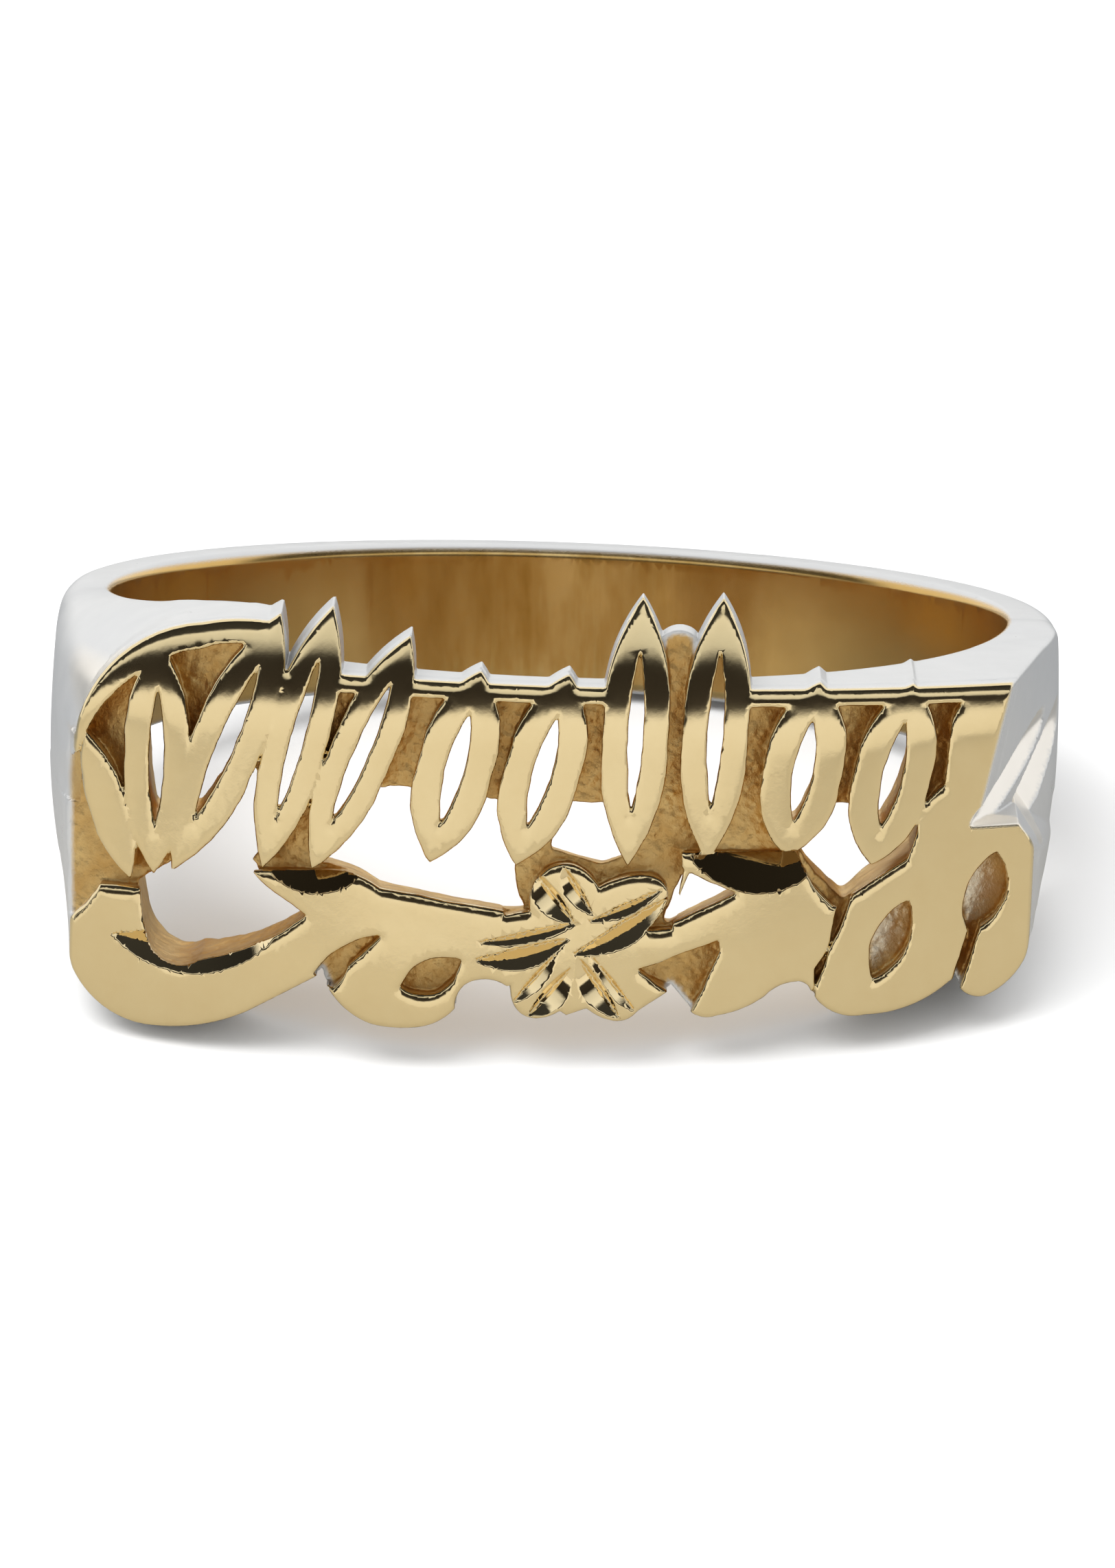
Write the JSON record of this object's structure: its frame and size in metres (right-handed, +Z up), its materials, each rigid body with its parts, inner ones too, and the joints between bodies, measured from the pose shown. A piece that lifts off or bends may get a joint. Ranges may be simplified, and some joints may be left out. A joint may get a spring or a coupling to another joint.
{
  "type": "ring",
  "caption": "Cast gold finger ring with a wide pierced face of upright leaves over ribbons, leaf lobes and a diamond-cut flower.",
  "frame": {"origin": "centre of the bounding box at the height of the surface on which the ring lies", "axes": "+Z up as it rests on its two lower lobes and the back of its shank, -Y towards the viewer of its face, +X to the right of the face"},
  "size_m": [0.0196, 0.0204, 0.0088],
  "materials": {
    "yellow_gold": "polished"
  },
  "bodies": {
    "root": {"ring": "yellow_gold"}
  },
  "joints": []
}
